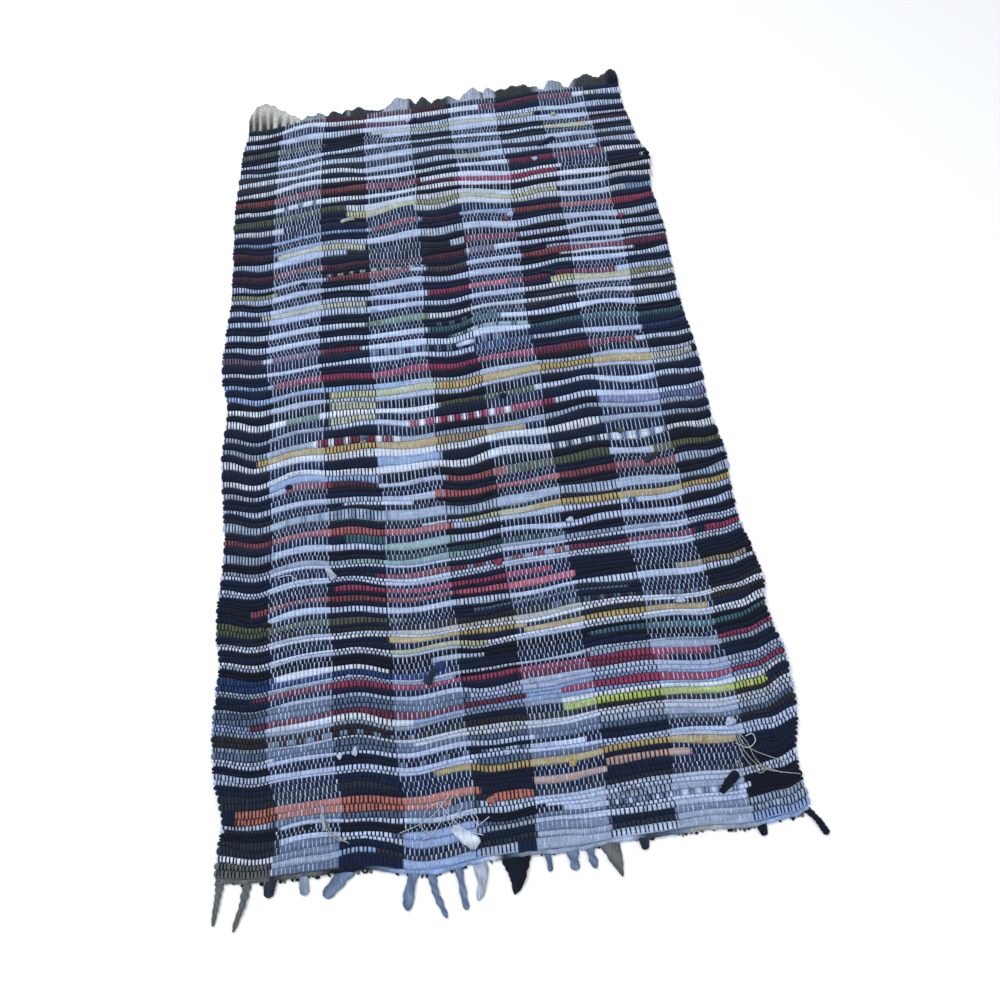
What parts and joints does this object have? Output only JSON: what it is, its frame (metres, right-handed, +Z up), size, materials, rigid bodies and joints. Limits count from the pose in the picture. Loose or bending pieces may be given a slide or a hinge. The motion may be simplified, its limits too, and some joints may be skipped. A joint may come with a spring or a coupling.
{
  "type": "rag rug",
  "caption": "Handwoven cotton rag rug lying flat, striped in dark and light rags, with a gathered far end and loose rag ends at the near end.",
  "frame": {"origin": "centre of the whole rug's plan box, on the surface it lies on", "axes": "+X across the rug to the right, +Y along it towards the gathered end, +Z up"},
  "size_m": [0.84, 1.5988, 0.0139],
  "materials": {
    "woven_rags": "matte cotton jersey rags bound by dark and white cotton warp",
    "gathered_knit": "matte charcoal knit",
    "folded_knit": "matte warm grey knit",
    "rag_ends": "matte frayed jersey"
  },
  "bodies": {
    "root": {"woven_field": "woven_rags", "far_heading": "gathered_knit", "corner_flap": "folded_knit", "near_fringe": "rag_ends"}
  },
  "joints": []
}
